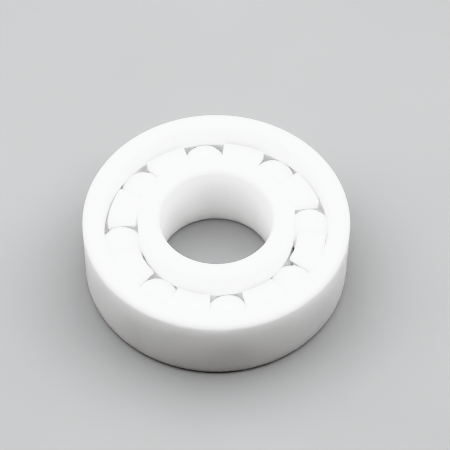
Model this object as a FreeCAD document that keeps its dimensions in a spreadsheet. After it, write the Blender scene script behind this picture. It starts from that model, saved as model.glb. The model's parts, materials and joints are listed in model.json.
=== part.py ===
"""Open deep-groove ball bearing of white ceramic, with a machined crown cage.

Millimetres. The origin is the centre of the lower side face and +Z is the axis of rotation.
Two rings, one cage and the balls are separate solids, one document object each.
"""
import FreeCAD, Part
import math
import os

import Sketcher

DIMENSIONS = (
    # alias, size, what it is
    ("bore_diameter", 15.0, "shaft seat in the inner ring"),
    ("outer_diameter", 35.0, "housing seat on the outer ring"),
    ("ring_width", 11.0, "width of both rings"),
    ("pitch_diameter", 25.0, "circle of the ball centres"),
    ("ball_diameter", 5.953, "one ball, 15/64 inch"),
    ("ball_count", 8, "balls, evenly spaced"),
    ("ball_play", 0.02, "gap from a ball to each raceway"),
    ("groove_ratio", 0.52, "raceway section radius over ball diameter"),
    ("outer_land_diameter", 29.6, "shoulder beside the outer raceway"),
    ("inner_land_diameter", 20.5, "shoulder beside the inner raceway"),
    ("outer_corner", 0.9, "rounding of the housing seat's corners"),
    ("bore_corner", 0.65, "rounding of the bore's corners"),
    ("outer_land_corner", 0.5, "rounding of the outer ring's shoulder corners"),
    ("inner_land_corner", 0.35, "rounding of the inner ring's shoulder corners"),
    ("cage_inner_diameter", 21.5, "inside of the cage"),
    ("cage_outer_diameter", 28.7, "outside of the cage"),
    ("cage_floor", 1.4, "height of the cage's closed side"),
    ("cage_top", 8.4, "height of the cage's open side"),
    ("cage_edge", 0.15, "chamfer along the cage's flat ends"),
    ("pocket_play", 0.12, "gap from a ball to its pocket"),
    ("mouth_angle", 22.5, "degrees round the axis that a pocket is open at the top"),
)
SIZE = {alias: value for alias, value, _ in DIMENSIONS}

MID_HEIGHT = "Dimensions.ring_width / 2"
GROOVE_RADIUS = "Dimensions.groove_ratio * Dimensions.ball_diameter"
POCKET_RADIUS = "Dimensions.ball_diameter / 2 + Dimensions.pocket_play"
OUTER_GROOVE_CENTRE = (
    "(Dimensions.pitch_diameter + Dimensions.ball_diameter) / 2 + Dimensions.ball_play - " + GROOVE_RADIUS
)
INNER_GROOVE_CENTRE = (
    "(Dimensions.pitch_diameter - Dimensions.ball_diameter) / 2 - Dimensions.ball_play + " + GROOVE_RADIUS
)

NEAR = 1e-4
START_POINT = 1
END_POINT = 2
CENTRE_POINT = 3
ROOT_GEOMETRY = -1
HORIZONTAL_AXIS = -1
VERTICAL_AXIS = -2


def add_sheet(document):
    sheet = document.addObject("Spreadsheet::Sheet", "Dimensions")
    for row, (alias, value, meaning) in enumerate(DIMENSIONS, start=1):
        sheet.set("A%d" % row, meaning)
        sheet.set("B%d" % row, str(value))
        sheet.setAlias("B%d" % row, alias)
    document.recompute()


def origin_feature(body, role):
    return next(item for item in body.Origin.OriginFeatures if item.Role == role)


def new_body(document, label):
    body = document.addObject("PartDesign::Body", label)
    body.Label = label
    return body


def new_sketch(body, name, plane_role):
    sketch = body.newObject("Sketcher::SketchObject", name)
    sketch.AttachmentSupport = (origin_feature(body, plane_role), [""])
    sketch.MapMode = "FlatFace"
    return sketch


def bind(sketch, kind, *references, start, name, expression):
    """Add a dimension to a sketch and drive it from the sheet."""
    index = sketch.addConstraint(Sketcher.Constraint(kind, *references, start))
    sketch.renameConstraint(index, name)
    sketch.setExpression("Constraints." + name, expression)


def circular_edges(shape, radius, heights):
    """Names of the edges that are circles about +Z with this radius at one of these heights."""
    names = []
    for number, edge in enumerate(shape.Edges, start=1):
        curve = edge.Curve
        if not isinstance(curve, Part.Circle):
            continue
        on_axis = math.hypot(curve.Center.x, curve.Center.y) < NEAR
        at_height = any(abs(curve.Center.z - height) < NEAR for height in heights)
        if on_axis and at_height and abs(curve.Radius - radius) < NEAR:
            names.append("Edge%d" % number)
    return names


def edges_at_height(shape, height):
    """Names of the edges that lie wholly at one height."""
    names = []
    for number, edge in enumerate(shape.Edges, start=1):
        box = edge.BoundBox
        if abs(box.ZMin - height) < NEAR and abs(box.ZMax - height) < NEAR:
            names.append("Edge%d" % number)
    return names


def draw_ring_section(body, inner_radius, outer_radius):
    """Rectangle from the inner to the outer radius, standing on the lower side face."""
    sketch = new_sketch(body, body.Label + "_section", "XZ_Plane")
    width = SIZE["ring_width"]
    corners = [
        FreeCAD.Vector(inner_radius[0], 0, 0),
        FreeCAD.Vector(outer_radius[0], 0, 0),
        FreeCAD.Vector(outer_radius[0], width, 0),
        FreeCAD.Vector(inner_radius[0], width, 0),
    ]
    for index, corner in enumerate(corners):
        sketch.addGeometry(Part.LineSegment(corner, corners[(index + 1) % 4]), False)
    bottom, outside, top, inside = range(4)
    for line in range(4):
        sketch.addConstraint(
            Sketcher.Constraint("Coincident", line, END_POINT, (line + 1) % 4, START_POINT)
        )
    for line in (bottom, top):
        sketch.addConstraint(Sketcher.Constraint("Horizontal", line))
    for line in (outside, inside):
        sketch.addConstraint(Sketcher.Constraint("Vertical", line))
    sketch.addConstraint(Sketcher.Constraint("PointOnObject", bottom, START_POINT, ROOT_GEOMETRY))
    bind(sketch, "DistanceX", ROOT_GEOMETRY, START_POINT, bottom, START_POINT,
         start=inner_radius[0], name="inner_radius", expression=inner_radius[1])
    bind(sketch, "DistanceX", ROOT_GEOMETRY, START_POINT, bottom, END_POINT,
         start=outer_radius[0], name="outer_radius", expression=outer_radius[1])
    bind(sketch, "DistanceY", outside, START_POINT, outside, END_POINT,
         start=width, name="ring_width", expression="Dimensions.ring_width")
    return sketch


def draw_raceway_section(body, centre_expression, centre_start):
    """Circle at mid-width whose turn about the axis is the raceway groove."""
    sketch = new_sketch(body, body.Label + "_raceway", "XZ_Plane")
    radius = SIZE["groove_ratio"] * SIZE["ball_diameter"]
    centre = FreeCAD.Vector(centre_start, SIZE["ring_width"] / 2, 0)
    circle = sketch.addGeometry(Part.Circle(centre, FreeCAD.Vector(0, 0, 1), radius), False)
    bind(sketch, "Radius", circle, start=radius, name="raceway_radius", expression=GROOVE_RADIUS)
    bind(sketch, "DistanceX", ROOT_GEOMETRY, START_POINT, circle, CENTRE_POINT,
         start=centre.x, name="raceway_centre", expression=centre_expression)
    bind(sketch, "DistanceY", ROOT_GEOMETRY, START_POINT, circle, CENTRE_POINT,
         start=centre.y, name="raceway_height", expression=MID_HEIGHT)
    return sketch


def turn(body, kind, name, sketch):
    feature = body.newObject(kind, name)
    feature.Profile = sketch
    feature.ReferenceAxis = (sketch, ["V_Axis"])
    feature.Angle = 360.0
    sketch.Visibility = False
    return feature


def round_corners(body, name, base, diameter):
    """Round both side-face corners of a ring at one of its diameters, such as bore_diameter."""
    names = circular_edges(base.Shape, SIZE[diameter] / 2, (0.0, SIZE["ring_width"]))
    if len(names) != 2:
        raise RuntimeError("%s: expected 2 corner circles, found %d" % (name, len(names)))
    feature = body.newObject("PartDesign::Fillet", name)
    feature.Base = (base, names)
    feature.setExpression("Radius", "Dimensions." + diameter.replace("diameter", "corner"))
    return feature


def make_ring(document, label, seat, land, groove_centre):
    """A ring turned from its seat to its land, with one raceway and four rounded corners.

    seat and land are sheet aliases, and groove_centre is the raceway's centre radius.
    """
    body = new_body(document, label)
    radii = sorted(
        (SIZE[alias] / 2, "Dimensions.%s / 2" % alias) for alias in (seat, land)
    )
    blank = turn(body, "PartDesign::Revolution", label + "_blank",
                 draw_ring_section(body, radii[0], radii[1]))
    document.recompute()
    side = 1 if SIZE[seat] > SIZE[land] else -1
    reach = SIZE["ball_diameter"] / 2 + SIZE["ball_play"] - SIZE["groove_ratio"] * SIZE["ball_diameter"]
    raceway = turn(body, "PartDesign::Groove", label + "_groove",
                   draw_raceway_section(body, groove_centre, SIZE["pitch_diameter"] / 2 + side * reach))
    document.recompute()
    require_less_volume(blank, raceway)
    seat_round = round_corners(body, label + "_seat_corners", raceway, seat)
    document.recompute()
    land_round = round_corners(body, label + "_land_corners", seat_round, land)
    document.recompute()
    body.Tip = land_round
    return body


def require_less_volume(before, after):
    if after.Shape.Volume > before.Shape.Volume - NEAR:
        raise RuntimeError("%s cut nothing" % after.Name)


def draw_cage_blank(body):
    """Two circles: the plan of the cage."""
    sketch = new_sketch(body, "cage_plan", "XY_Plane")
    sketch.setExpression("AttachmentOffset.Base.z", "Dimensions.cage_floor")
    for alias in ("cage_inner_diameter", "cage_outer_diameter"):
        radius = SIZE[alias] / 2
        circle = sketch.addGeometry(
            Part.Circle(FreeCAD.Vector(0, 0, 0), FreeCAD.Vector(0, 0, 1), radius), False
        )
        sketch.addConstraint(
            Sketcher.Constraint("Coincident", circle, CENTRE_POINT, ROOT_GEOMETRY, START_POINT)
        )
        bind(sketch, "Radius", circle, start=radius, name=alias, expression="Dimensions.%s / 2" % alias)
    return sketch


def draw_pocket_seat(body):
    """Circle of one ball pocket seen along its radius."""
    sketch = new_sketch(body, "pocket_seat", "YZ_Plane")
    radius = SIZE["ball_diameter"] / 2 + SIZE["pocket_play"]
    centre = FreeCAD.Vector(0, SIZE["ring_width"] / 2, 0)
    circle = sketch.addGeometry(Part.Circle(centre, FreeCAD.Vector(0, 0, 1), radius), False)
    sketch.addConstraint(Sketcher.Constraint("PointOnObject", circle, CENTRE_POINT, VERTICAL_AXIS))
    bind(sketch, "Radius", circle, start=radius, name="pocket_radius", expression=POCKET_RADIUS)
    bind(sketch, "DistanceY", ROOT_GEOMETRY, START_POINT, circle, CENTRE_POINT,
         start=centre.y, name="pocket_height", expression=MID_HEIGHT)
    return sketch


def draw_pocket_mouth(body):
    """Triangle from the axis outwards: the opening above one pocket, with radial sides."""
    sketch = new_sketch(body, "pocket_mouth", "XY_Plane")
    sketch.setExpression("AttachmentOffset.Base.z", "Dimensions.cage_top")
    reach = SIZE["outer_diameter"] / 2
    half_width = reach * math.tan(math.radians(SIZE["mouth_angle"] / 2))
    corners = [
        FreeCAD.Vector(0, 0, 0),
        FreeCAD.Vector(reach, -half_width, 0),
        FreeCAD.Vector(reach, half_width, 0),
    ]
    for index, corner in enumerate(corners):
        sketch.addGeometry(Part.LineSegment(corner, corners[(index + 1) % 3]), False)
    right, lid, left = range(3)
    for first, second in ((right, lid), (lid, left), (left, right)):
        sketch.addConstraint(Sketcher.Constraint("Coincident", first, END_POINT, second, START_POINT))
    sketch.addConstraint(Sketcher.Constraint("Coincident", right, START_POINT, ROOT_GEOMETRY, START_POINT))
    sketch.addConstraint(
        Sketcher.Constraint("Symmetric", lid, START_POINT, lid, END_POINT, HORIZONTAL_AXIS)
    )
    bind(sketch, "DistanceX", ROOT_GEOMETRY, START_POINT, lid, END_POINT,
         start=reach, name="mouth_reach", expression="Dimensions.outer_diameter / 2")
    bind(sketch, "DistanceY", lid, START_POINT, lid, END_POINT, start=2 * half_width, name="mouth_width",
         expression="Dimensions.outer_diameter * tan(Dimensions.mouth_angle / 2 * 1deg)")
    return sketch


def make_cage(document):
    """A crown cage: a thin closed ring below the balls, with blocks standing up between them."""
    body = new_body(document, "ball_cage")
    blank = body.newObject("PartDesign::Pad", "cage_blank")
    blank.Profile = draw_cage_blank(body)
    blank.setExpression("Length", "Dimensions.cage_top - Dimensions.cage_floor")
    document.recompute()

    seat = body.newObject("PartDesign::Pocket", "cage_pocket_seat")
    seat.Profile = draw_pocket_seat(body)
    seat.Type = "ThroughAll"
    seat.Reversed = True
    document.recompute()
    require_less_volume(blank, seat)

    mouth = body.newObject("PartDesign::Pocket", "cage_pocket_mouth")
    mouth.Profile = draw_pocket_mouth(body)
    mouth.setExpression("Length", "Dimensions.cage_top - " + MID_HEIGHT)
    document.recompute()
    require_less_volume(seat, mouth)

    pockets = body.newObject("PartDesign::PolarPattern", "cage_pockets")
    pockets.Originals = [seat, mouth]
    pockets.Axis = (origin_feature(body, "Z_Axis"), [""])
    pockets.Angle = 360.0
    pockets.setExpression("Occurrences", "Dimensions.ball_count")
    body.Tip = pockets
    document.recompute()
    require_less_volume(mouth, pockets)

    ends = edges_at_height(pockets.Shape, SIZE["cage_top"])
    ends += edges_at_height(pockets.Shape, SIZE["cage_floor"])
    softened = body.newObject("PartDesign::Chamfer", "cage_edges")
    softened.Base = (pockets, ends)
    softened.setExpression("Size", "Dimensions.cage_edge")
    body.Tip = softened
    document.recompute()
    return body


def make_ball(document, number):
    """One ball on the pitch circle at mid-width; ball 1 lies on +X."""
    ball = document.addObject("Part::Sphere", "ball_%d" % (number + 1))
    ball.Label = "ball_%d" % (number + 1)
    ball.setExpression("Radius", "Dimensions.ball_diameter / 2")
    bearing = "%d * 360deg / Dimensions.ball_count" % number
    ball.setExpression("Placement.Base.x", "Dimensions.pitch_diameter / 2 * cos(%s)" % bearing)
    ball.setExpression("Placement.Base.y", "Dimensions.pitch_diameter / 2 * sin(%s)" % bearing)
    ball.setExpression("Placement.Base.z", MID_HEIGHT)
    return ball


def check(document, parts):
    for item in document.Objects:
        if "Invalid" in item.State or "Error" in item.State:
            raise RuntimeError("%s failed to recompute: %s" % (item.Name, item.State))
    for part in parts:
        shape = part.Shape
        if shape.isNull() or not shape.isValid() or len(shape.Solids) != 1:
            raise RuntimeError("%s is not one valid solid" % part.Label)


def main():
    document = FreeCAD.newDocument("ball_bearing")
    add_sheet(document)
    parts = [
        make_ring(document, "outer_ring", "outer_diameter", "outer_land_diameter", OUTER_GROOVE_CENTRE),
        make_ring(document, "inner_ring", "bore_diameter", "inner_land_diameter", INNER_GROOVE_CENTRE),
        make_cage(document),
    ]
    parts += [make_ball(document, number) for number in range(SIZE["ball_count"])]
    document.recompute()
    check(document, parts)

    os.makedirs("parts", exist_ok=True)
    for part in parts:
        part.Shape.exportStep("parts/%s.step" % part.Label)
        print("%-12s %9.3f mm3" % (part.Label, part.Shape.Volume))


main()
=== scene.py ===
"""Looks of the ceramic ball bearing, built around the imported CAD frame. Metres, +Z up."""
import json
import math

import bmesh
import bpy
from mathutils import Matrix, Vector


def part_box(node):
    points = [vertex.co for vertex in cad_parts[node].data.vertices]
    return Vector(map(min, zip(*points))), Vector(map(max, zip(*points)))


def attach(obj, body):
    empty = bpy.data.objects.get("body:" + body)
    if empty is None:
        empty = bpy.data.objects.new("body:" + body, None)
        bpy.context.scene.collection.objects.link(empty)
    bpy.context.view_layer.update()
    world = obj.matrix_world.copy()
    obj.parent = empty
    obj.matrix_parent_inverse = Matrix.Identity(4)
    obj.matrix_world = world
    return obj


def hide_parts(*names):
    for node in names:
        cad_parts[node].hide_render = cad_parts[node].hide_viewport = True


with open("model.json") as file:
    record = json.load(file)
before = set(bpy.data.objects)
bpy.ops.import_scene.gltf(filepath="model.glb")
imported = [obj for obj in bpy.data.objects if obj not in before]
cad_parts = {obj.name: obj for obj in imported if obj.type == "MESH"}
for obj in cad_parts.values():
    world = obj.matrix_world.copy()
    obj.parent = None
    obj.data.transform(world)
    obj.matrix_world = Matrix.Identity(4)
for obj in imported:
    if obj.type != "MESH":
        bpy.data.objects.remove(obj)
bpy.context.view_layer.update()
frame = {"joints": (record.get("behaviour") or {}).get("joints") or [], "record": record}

MM = 0.001

# Sizes that the frame gives
MOUNTS = {mount["name"]: mount for mount in frame["record"]["mounts"]}
SEAT_RADIUS = MOUNTS["housing_seat"]["dims"]["r_mm"] * MM
BORE_RADIUS = MOUNTS["shaft_bore"]["dims"]["r_mm"] * MM
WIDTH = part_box("outer_ring")[1].z
MID = WIDTH / 2
INNER_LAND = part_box("inner_ring")[1].x
BALL_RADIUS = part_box("ball_1")[1].z - MID
CENTRES = {joint["child"]: Vector(joint["pos_m"]) for joint in frame["joints"]}
BALLS = sorted(body for body in CENTRES if body.startswith("ball_") and body != "ball_cage")
PITCH_RADIUS = CENTRES["ball_1"].x
CAGE_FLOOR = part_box("ball_cage")[0].z
CAGE_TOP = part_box("ball_cage")[1].z
CAGE_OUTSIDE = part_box("ball_cage")[1].x

# Sizes that the frame's boxes don't show, as in the CAD
OUTER_LAND = 14.8 * MM
CAGE_INSIDE = 10.75 * MM
GROOVE_RADIUS = 0.52 * 2 * BALL_RADIUS
BALL_PLAY = 0.02 * MM
OUTER_CORNER = 0.9 * MM
BORE_CORNER = 0.65 * MM
OUTER_LAND_CORNER = 0.5 * MM
INNER_LAND_CORNER = 0.35 * MM
POCKET_RADIUS = BALL_RADIUS + 0.12 * MM
HALF_MOUTH_ANGLE = math.radians(11.25)

# Rounded edges: the raceways', which are sharp in the CAD, and the cage's, which it chamfers
SHOULDER_BREAK = 0.08 * MM
CAGE_EDGE = 0.15 * MM

# Mesh fineness of the rings, and how far from its ends a straight run has its nearest points
RING_SEGMENTS = 288
RACEWAY_STEPS = 24
SHOULDER_STEPS = 5
CORNER_STEPS = 10
LAND_STEPS = 3
SIDE_FACE_STEPS = 4
SEAT_STEPS = 8
HOLD = 0.04 * MM

# Mesh fineness of the cage and the balls
POCKET_STEPS = 26
MOUTH_STEPS = 3
BLOCK_STEPS = 6
RADIAL_STEPS = 6
BALL_STEPS = 28

# The cage's mesh: the share of a pocket's points that face its lower face, the segments of a
# rounded edge, the least angle of an edge that is rounded, and how near points are merged
LOWER_FACE_SHARE = 0.36
EDGE_SEGMENTS = 4
EDGE_ANGLE = math.radians(18)
MERGE_DISTANCE = 0.0001 * MM

# Colours, each as the two shades between which it wanders
RING_WHITE = ((0.984, 0.984, 0.983), (0.994, 0.994, 0.993))
PURE_WHITE = ((0.984, 0.984, 0.984), (0.994, 0.994, 0.994))
FLOOR_GREY = ((0.275, 0.275, 0.277), (0.29, 0.29, 0.292))

# Materials: how far light scatters inside the white pieces, the middle range of a noise, how far
# a turned noise moves in one radian, and the sockets of a Mix node that mixes colours
SCATTERING = {
    "Subsurface_Weight": 1.0,
    "Subsurface_Radius": (1.0, 1.0, 1.0),
    "Subsurface_Scale": 3 * MM,
}
NOISE_LOW = 0.3
NOISE_HIGH = 0.7
TURN_PER_RADIAN = 0.12 * MM
MIX_FIRST = 6
MIX_SECOND = 7
MIX_RESULT = 2

# The camera: where it stands, where it looks, and its lens
CAMERA_AZIMUTH = -7.7
CAMERA_ELEVATION = 53.25
CAMERA_ROLL = 0.75
CAMERA_DISTANCE = 272.0 * MM
CAMERA_LENS = 164.0
CAMERA_NEAR = 10.0 * MM
AIM_RIGHT = 1.14 * MM
AIM_UP = 2.1 * MM

# The studio: two soft panels side by side over the object, a little behind it, and a dim warm room
PANEL_HEIGHT = 420.0 * MM
PANEL_WIDTH = 750.0 * MM
PANEL_LENGTH = 660.0 * MM
PANEL_GAP = 30.0 * MM
PANEL_BACK = 120.0 * MM
PANEL_POWER = 5.3
PANEL_COLOUR = (0.985, 0.995, 1.0)
ROOM_COLOUR = (1.0, 0.93, 0.89)
ROOM_STRENGTH = 0.10

# The floor: how far it reaches each way, and how far it lies under the object
FLOOR_REACH = 2000.0 * MM
FLOOR_DROP = 0.01 * MM

# How often light may bounce
LIGHT_BOUNCES = 48
DIFFUSE_BOUNCES = 32
GLOSSY_BOUNCES = 8


# ---------------------------------------------------------------- meshes

def arc(centre, radius, start, end, steps):
    """Points of an arc in the plane of a section, angles in degrees."""
    points = []
    for step in range(steps + 1):
        angle = math.radians(start + (end - start) * step / steps)
        points.append((centre[0] + radius * math.cos(angle), centre[1] + radius * math.sin(angle)))
    return points


def straight(start, end, steps):
    """Points inside a straight run, one of them close to each end so that the run shades flat."""
    hold = HOLD / math.dist(start, end)
    shares = [hold] + [step / steps for step in range(1, steps)] + [1 - hold]
    return [(start[0] + (end[0] - start[0]) * share, start[1] + (end[1] - start[1]) * share)
            for share in shares]


def ring_outline(seat, seat_corner, land, land_corner):
    """Closed outline (radius, height) of a ring's section, raceway included, all edges rounded.

    Its upper half is drawn as (depth, height), where depth grows from the land towards the seat,
    and runs from the raceway's floor to half height on the seat. The lower half mirrors it.
    """
    side = math.copysign(1, seat - land)
    thickness = abs(seat - land)
    raceway_floor = side * (PITCH_RADIUS + side * (BALL_RADIUS + BALL_PLAY) - land)
    centre = raceway_floor - GROOVE_RADIUS
    reach = GROOVE_RADIUS + SHOULDER_BREAK
    rise = math.sqrt(reach ** 2 - (SHOULDER_BREAK - centre) ** 2)
    opening = math.degrees(math.atan2(rise, SHOULDER_BREAK - centre))

    raceway = arc((centre, MID), GROOVE_RADIUS, 0, opening, RACEWAY_STEPS)
    shoulder = arc((SHOULDER_BREAK, MID + rise), SHOULDER_BREAK, 180 + opening, 180, SHOULDER_STEPS)
    land_round = arc((land_corner, WIDTH - land_corner), land_corner, 180, 90, CORNER_STEPS)
    seat_round = arc((thickness - seat_corner, WIDTH - seat_corner), seat_corner, 90, 0, CORNER_STEPS)
    upper = raceway + shoulder[1:]
    upper += straight(shoulder[-1], land_round[0], LAND_STEPS) + land_round
    upper += straight(land_round[-1], seat_round[0], SIDE_FACE_STEPS) + seat_round
    upper += straight(seat_round[-1], (thickness, seat_corner), SEAT_STEPS)[:SEAT_STEPS // 2 + 1]
    lower = [(depth, WIDTH - height) for depth, height in reversed(upper[1:-1])]
    return [(land + side * depth, height) for depth, height in upper + lower]


def finished_object(node, mesh_data, material):
    """Wrap a bmesh in an object that stands for a node, rides on its body and has a material."""
    name = node + "_finished"
    body = node
    bmesh.ops.recalc_face_normals(mesh_data, faces=mesh_data.faces)
    mesh = bpy.data.meshes.new(name)
    mesh_data.to_mesh(mesh)
    mesh_data.free()
    mesh.polygons.foreach_set("use_smooth", [True] * len(mesh.polygons))
    mesh.materials.append(material)
    piece = bpy.data.objects.new(name, mesh)
    bpy.context.scene.collection.objects.link(piece)
    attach(piece, body)
    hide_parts(node)
    return piece


def lathe(outline):
    """A closed outline of (radius, height) points turned once about +Z."""
    data = bmesh.new()
    rows = []
    for segment in range(RING_SEGMENTS):
        angle = 2 * math.pi * segment / RING_SEGMENTS
        rows.append([
            data.verts.new((radius * math.cos(angle), radius * math.sin(angle), height))
            for radius, height in outline
        ])
    for row, following in zip(rows, rows[1:] + rows[:1]):
        for index in range(len(outline)):
            after = (index + 1) % len(outline)
            data.faces.new((row[index], following[index], following[after], row[after]))
    return data


def grid_faces(data, rows):
    """Quads between neighbouring rows of vertices."""
    for row, following in zip(rows, rows[1:]):
        for index in range(len(row) - 1):
            data.faces.new((row[index], row[index + 1], following[index + 1], following[index]))


def lerp(start, end, share):
    """The number that lies a share of the way from start to end."""
    return start + (end - start) * share


def on_cylinder(radius, angle, height):
    """A point in space from its radius, angle and height."""
    return Vector((radius * math.cos(angle), radius * math.sin(angle), height))


def pocket_edge(radius):
    """Half of a pocket's outline at a radius, as (offset, height), from its lowest point up."""
    half_mouth = radius * math.sin(HALF_MOUTH_ANGLE)
    lip = math.degrees(math.acos(half_mouth / POCKET_RADIUS))
    points = arc((0, MID), POCKET_RADIUS, -90, lip, POCKET_STEPS)
    bottom = points[-1][1]
    for step in range(1, MOUTH_STEPS + 1):
        points.append((half_mouth, lerp(bottom, CAGE_TOP, step / MOUTH_STEPS)))
    return points


def pocket_column(radius):
    """The same outline as points in space."""
    return [on_cylinder(radius, math.asin(offset / radius), height)
            for offset, height in pocket_edge(radius)]


def block_edge(half_pitch):
    """Matching points as (angle, height), along the cage's lower face and up a block's middle."""
    count = POCKET_STEPS + MOUTH_STEPS
    corner = round(count * LOWER_FACE_SHARE)
    points = [(half_pitch * step / corner, CAGE_FLOOR) for step in range(corner + 1)]
    for step in range(1, count - corner + 1):
        points.append((half_pitch, lerp(CAGE_FLOOR, CAGE_TOP, step / (count - corner))))
    return points


def cage_wall_rows(radius, block):
    """Rows across one cylindrical wall of the cage, from a pocket's edge to the block's middle."""
    rows = []
    for (offset, low), (angle, high) in zip(pocket_edge(radius), block):
        start = math.asin(offset / radius)
        shares = [step / BLOCK_STEPS for step in range(BLOCK_STEPS + 1)]
        rows.append([on_cylinder(radius, lerp(start, angle, share), lerp(low, high, share))
                     for share in shares])
    return rows


def across(first, second):
    """Rows that lead radially from one line of points to another."""
    return [[start.lerp(end, step / RADIAL_STEPS) for start, end in zip(first, second)]
            for step in range(RADIAL_STEPS + 1)]


def cage_mesh():
    """The crown cage: one half of a pocket with half a block, mirrored and repeated."""
    half_pitch = math.pi / len(BALLS)
    block = block_edge(half_pitch)
    inside = cage_wall_rows(CAGE_INSIDE, block)
    outside = cage_wall_rows(CAGE_OUTSIDE, block)
    pocket = [pocket_column(lerp(CAGE_INSIDE, CAGE_OUTSIDE, step / RADIAL_STEPS))
              for step in range(RADIAL_STEPS + 1)]
    block_top = across(inside[-1], outside[-1])
    corner = next(index for index, point in enumerate(block) if point[1] > CAGE_FLOOR)
    lower_face = across([row[-1] for row in inside[:corner]], [row[-1] for row in outside[:corner]])
    patches = [inside, outside, pocket, block_top, lower_face]
    data = bmesh.new()
    for number in range(len(BALLS)):
        turn = Matrix.Rotation(2 * half_pitch * number, 4, "Z")
        for flip in (1, -1):
            place = turn @ Matrix.Diagonal((1, flip, 1, 1))
            for patch in patches:
                rows = [[data.verts.new(place @ point) for point in row] for row in patch]
                grid_faces(data, rows)
    bmesh.ops.remove_doubles(data, verts=data.verts, dist=MERGE_DISTANCE)
    return data


def ball_mesh(centre):
    """A ball of even quads: a cube's grid, spread by angle and pushed out to the radius."""
    lines = [math.tan(math.pi / 4 * (2 * step / BALL_STEPS - 1)) for step in range(BALL_STEPS + 1)]
    data = bmesh.new()
    for axis in range(3):
        for sign in (-1, 1):
            rows = []
            for first in lines:
                points = []
                for second in lines:
                    direction = [first, second]
                    direction.insert(axis, sign)
                    place = centre + Vector(direction).normalized() * BALL_RADIUS
                    points.append(data.verts.new(place))
                rows.append(points)
            grid_faces(data, rows)
    bmesh.ops.remove_doubles(data, verts=data.verts, dist=MERGE_DISTANCE)
    return data


def round_edges(piece):
    """Round the piece's sharp edges by the width of the cage's edges."""
    bevel = piece.modifiers.new("edges", "BEVEL")
    bevel.width = CAGE_EDGE
    bevel.segments = EDGE_SEGMENTS
    bevel.limit_method = "ANGLE"
    bevel.angle_limit = EDGE_ANGLE
    bevel.harden_normals = True
    bevel.use_clamp_overlap = False


# ---------------------------------------------------------------- materials

class Nodes:
    """Short calls for a material's node tree."""

    def __init__(self, name):
        self.material = bpy.data.materials.new(name)
        self.material.use_nodes = True
        self.tree = self.material.node_tree
        self.shader = self.tree.nodes["Principled BSDF"]

    def add(self, kind, inputs=None, **settings):
        """A new node with its settings, its inputs linked or set."""
        node = self.tree.nodes.new(kind)
        for key, value in settings.items():
            setattr(node, key, value)
        for key, value in (inputs or {}).items():
            if isinstance(value, bpy.types.NodeSocket):
                self.tree.links.new(value, node.inputs[key])
            else:
                node.inputs[key].default_value = value
        return node

    def math(self, operation, first, second):
        return self.add("ShaderNodeMath", {0: first, 1: second}, operation=operation).outputs[0]

    def mixed(self, first, second, share):
        """Two values added, the first weighted by a share and the second by the rest."""
        weighted = self.math("MULTIPLY", first, share)
        return self.math("ADD", weighted, self.math("MULTIPLY", second, 1 - share))

    def noise(self, place, scale, detail):
        inputs = {"Vector": place, "Scale": scale, "Detail": detail}
        return self.add("ShaderNodeTexNoise", inputs).outputs["Fac"]

    def spread(self, noise, low, high):
        """The middle range of a noise brought to another range."""
        inputs = {
            "Value": noise,
            "From Min": NOISE_LOW,
            "From Max": NOISE_HIGH,
            "To Min": low,
            "To Max": high,
        }
        return self.add("ShaderNodeMapRange", inputs).outputs["Result"]

    def place(self):
        """The object's own coordinates, in metres."""
        return self.add("ShaderNodeTexCoord").outputs["Object"]

    def turned(self, place):
        """Coordinates in which a noise runs in rings round the axis: radius, height, a little angle."""
        parts = self.add("ShaderNodeSeparateXYZ", {"Vector": place}).outputs
        flat_place = self.add("ShaderNodeCombineXYZ", {"X": parts["X"], "Y": parts["Y"]}).outputs[0]
        radius = self.add("ShaderNodeVectorMath", {0: flat_place}, operation="LENGTH").outputs["Value"]
        angle = self.math("ARCTAN2", parts["Y"], parts["X"])
        slight = self.math("MULTIPLY", angle, TURN_PER_RADIAN)
        return self.add("ShaderNodeCombineXYZ", {"X": radius, "Y": parts["Z"], "Z": slight}).outputs[0]

    def mottle(self, place, scale, shades):
        """A colour that wanders between two shades."""
        first, second = shades
        factor = self.spread(self.noise(place, scale, detail=4.0), low=0.0, high=1.0)
        node = self.add("ShaderNodeMix", {"Factor": factor}, data_type="RGBA")
        node.inputs[MIX_FIRST].default_value = (*first, 1)
        node.inputs[MIX_SECOND].default_value = (*second, 1)
        return node.outputs[MIX_RESULT]

    def bump(self, height, distance):
        inputs = {"Height": height, "Distance": distance}
        return self.add("ShaderNodeBump", inputs).outputs["Normal"]

    def finish(self, linked, **fixed):
        """The material, once its shader's sockets are linked or set."""
        for name, socket in linked.items():
            self.tree.links.new(socket, self.shader.inputs[name])
        for name, value in fixed.items():
            self.shader.inputs[name.replace("_", " ")].default_value = value
        return self.material


def ring_ceramic():
    """Ground zirconia: white, satin, with faint grinding lines round the axis."""
    nodes = Nodes("ring_ceramic")
    place = nodes.place()
    grinding = nodes.noise(nodes.turned(place), scale=24000.0, detail=2.0)
    grain = nodes.noise(place, scale=30000.0, detail=2.0)
    linked = {
        "Base Color": nodes.mottle(place, scale=170.0, shades=RING_WHITE),
        "Roughness": nodes.spread(grinding, low=0.36, high=0.41),
        "Normal": nodes.bump(nodes.mixed(grinding, grain, share=0.6), distance=0.002 * MM),
    }
    return nodes.finish(linked, IOR=1.75, **SCATTERING)


def ball_ceramic():
    """Lapped zirconia: white and glossy, with a barely seen mottle."""
    nodes = Nodes("ball_ceramic")
    place = nodes.place()
    haze = nodes.noise(place, scale=2500.0, detail=3.0)
    linked = {
        "Base Color": nodes.mottle(place, scale=400.0, shades=PURE_WHITE),
        "Roughness": nodes.spread(haze, low=0.06, high=0.11),
    }
    return nodes.finish(linked, IOR=2.15, **SCATTERING)


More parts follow.
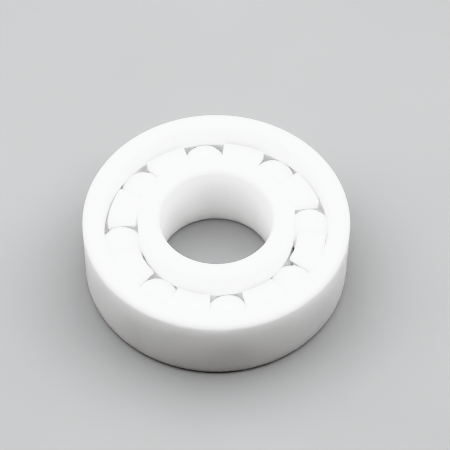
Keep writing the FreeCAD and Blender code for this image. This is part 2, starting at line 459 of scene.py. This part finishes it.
def cage_plastic():
    """Machined PTFE: waxy white, slightly translucent, with fine turning marks."""
    nodes = Nodes("cage_plastic")
    place = nodes.place()
    cuts = nodes.noise(nodes.turned(place), scale=7000.0, detail=2.0)
    wax = nodes.noise(place, scale=3000.0, detail=3.0)
    linked = {
        "Base Color": nodes.mottle(place, scale=260.0, shades=PURE_WHITE),
        "Roughness": nodes.spread(wax, low=0.42, high=0.55),
        "Normal": nodes.bump(nodes.mixed(cuts, wax, share=0.7), distance=0.004 * MM),
    }
    return nodes.finish(linked, IOR=1.36, **SCATTERING)


def pale_floor():
    """Plain matt grey, barely mottled."""
    nodes = Nodes("pale_floor")
    colour = nodes.mottle(nodes.place(), scale=30.0, shades=FLOOR_GREY)
    return nodes.finish({"Base Color": colour}, Roughness=0.8)


# ---------------------------------------------------------------- stage

def add_floor():
    """A square floor just under the object."""
    mesh = bpy.data.meshes.new("floor")
    signs = [(-1, -1), (1, -1), (1, 1), (-1, 1)]
    mesh.from_pydata([(x * FLOOR_REACH, y * FLOOR_REACH, 0) for x, y in signs], [], [(0, 1, 2, 3)])
    mesh.materials.append(pale_floor())
    floor = bpy.data.objects.new("floor", mesh)
    floor.location.z = -FLOOR_DROP
    bpy.context.scene.collection.objects.link(floor)
    # The floor throws no light back on the object, so that its side wall darkens downwards
    floor.visible_diffuse = False


def add_lights():
    """The two panels, which face down and stand square to the camera's azimuth, and the room."""
    turn = Matrix.Rotation(math.radians(CAMERA_AZIMUTH), 4, "Z")
    aside = (PANEL_GAP + PANEL_WIDTH) / 2
    for name, side in (("panel_left", -1), ("panel_right", 1)):
        light = bpy.data.lights.new(name, "AREA")
        light.shape = "RECTANGLE"
        light.size = PANEL_WIDTH
        light.size_y = PANEL_LENGTH
        light.energy = PANEL_POWER
        light.color = PANEL_COLOUR
        panel = bpy.data.objects.new(name, light)
        centre = turn @ Vector((side * aside, PANEL_BACK, PANEL_HEIGHT))
        panel.matrix_world = Matrix.Translation(centre) @ turn
        bpy.context.scene.collection.objects.link(panel)
    world = bpy.data.worlds.new("studio")
    world.use_nodes = True
    background = world.node_tree.nodes["Background"]
    background.inputs["Color"].default_value = (*ROOM_COLOUR, 1)
    background.inputs["Strength"].default_value = ROOM_STRENGTH
    bpy.context.scene.world = world


def add_camera():
    """The camera at the photograph's viewing angle."""
    azimuth = math.radians(CAMERA_AZIMUTH)
    elevation = math.radians(CAMERA_ELEVATION)
    back = Vector((
        math.sin(azimuth) * math.cos(elevation),
        -math.cos(azimuth) * math.cos(elevation),
        math.sin(elevation),
    ))
    data = bpy.data.cameras.new("camera")
    data.lens = CAMERA_LENS
    data.clip_start = CAMERA_NEAR
    camera = bpy.data.objects.new("camera", data)
    right = Vector((math.cos(azimuth), math.sin(azimuth), 0))
    up = back.cross(right)
    facing = Matrix((right, up, back)).transposed().to_4x4()
    roll = Matrix.Rotation(math.radians(CAMERA_ROLL), 4, "Z")
    aim = Vector((0, 0, MID)) + right * AIM_RIGHT + up * AIM_UP
    camera.matrix_world = Matrix.Translation(aim + back * CAMERA_DISTANCE) @ facing @ roll
    bpy.context.scene.collection.objects.link(camera)
    bpy.context.scene.camera = camera


def set_picture():
    """The tone curve, and enough bounces for light to leave the deep gaps."""
    scene = bpy.context.scene
    scene.view_settings.view_transform = "Khronos PBR Neutral"
    scene.view_settings.look = "Medium High Contrast"
    scene.cycles.max_bounces = LIGHT_BOUNCES
    scene.cycles.diffuse_bounces = DIFFUSE_BOUNCES
    scene.cycles.glossy_bounces = GLOSSY_BOUNCES


# ---------------------------------------------------------------- the object

def build():
    """One finished piece for each CAD node."""
    ring_material = ring_ceramic()
    outline = ring_outline(SEAT_RADIUS, OUTER_CORNER, OUTER_LAND, OUTER_LAND_CORNER)
    finished_object("outer_ring", lathe(outline), ring_material)
    outline = ring_outline(BORE_RADIUS, BORE_CORNER, INNER_LAND, INNER_LAND_CORNER)
    finished_object("inner_ring", lathe(outline), ring_material)
    round_edges(finished_object("ball_cage", cage_mesh(), cage_plastic()))
    ball_material = ball_ceramic()
    for ball in BALLS:
        finished_object(ball, ball_mesh(CENTRES[ball]), ball_material)


build()
add_floor()
add_lights()
add_camera()
set_picture()
